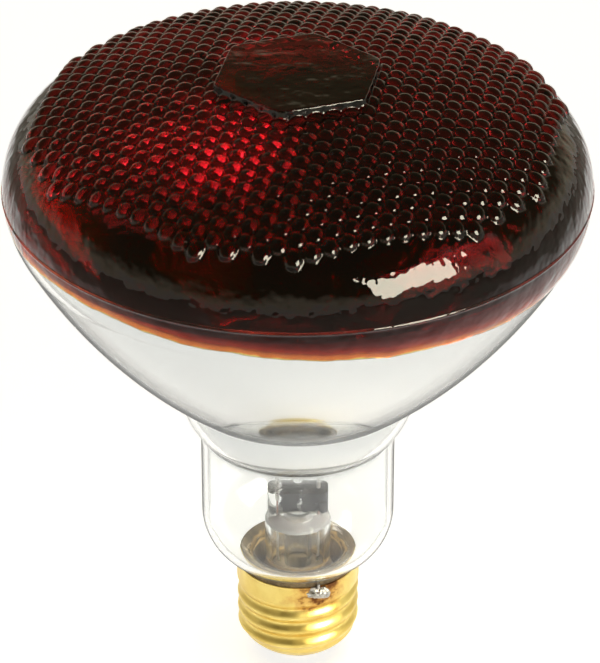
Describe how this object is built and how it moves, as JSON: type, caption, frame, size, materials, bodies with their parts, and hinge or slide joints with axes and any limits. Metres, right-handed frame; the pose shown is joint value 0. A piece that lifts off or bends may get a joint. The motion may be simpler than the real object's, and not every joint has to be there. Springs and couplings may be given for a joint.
{
  "type": "infrared reflector heat lamp",
  "caption": "Red infrared reflector heat lamp bulb with a beaded domed face, mirrored bowl, clear neck and brass medium screw base.",
  "frame": {"origin": "flat tip of the centre contact, on the lamp axis", "axes": "+Z along the lamp axis from the base to the face; -Y is the side the picture shows; +X to its right"},
  "size_m": [0.1199, 0.1198, 0.141],
  "materials": {
    "clear_glass": "clear blown soda-lime glass, glossy",
    "ruby_lacquer": "dark red heat-proof lacquer on the outside of the face, glossy, orange where it thins at its lower edge",
    "mirror_film": "vapour-deposited aluminium, bright",
    "stem_glass": "clear lead glass",
    "nickel_wire": "nickel-plated iron wire",
    "seal_wire": "copper-clad nickel-iron wire, dull red",
    "lead_wire": "bare copper wire",
    "tungsten": "drawn tungsten, dark grey",
    "molybdenum": "drawn molybdenum, grey",
    "cement": "baked brown-grey basing cement, matt",
    "brass": "bright rolled brass with a little tarnish",
    "black_glass": "opaque black moulded glass, glossy",
    "solder": "dull silver-grey solder"
  },
  "bodies": {
    "root": {"bulb_glass": "clear_glass", "neck_glass": "clear_glass", "ruby_coating": "ruby_lacquer", "reflector_coating": "mirror_film", "stem_flare": "stem_glass", "exhaust_tube": "stem_glass", "stem_press": "stem_glass", "arbor": "stem_glass", "inner_lead_left": "nickel_wire", "inner_lead_right": "nickel_wire", "seal_wire_left": "seal_wire", "seal_wire_right": "seal_wire", "side_outer_lead": "lead_wire", "centre_outer_lead": "lead_wire", "filament": "tungsten", "filament_supports": "molybdenum", "basing_cement": "cement", "screw_shell": "brass", "base_insulator": "black_glass", "contact_plate": "brass", "centre_solder": "solder", "rim_solder": "solder"}
  },
  "joints": []
}
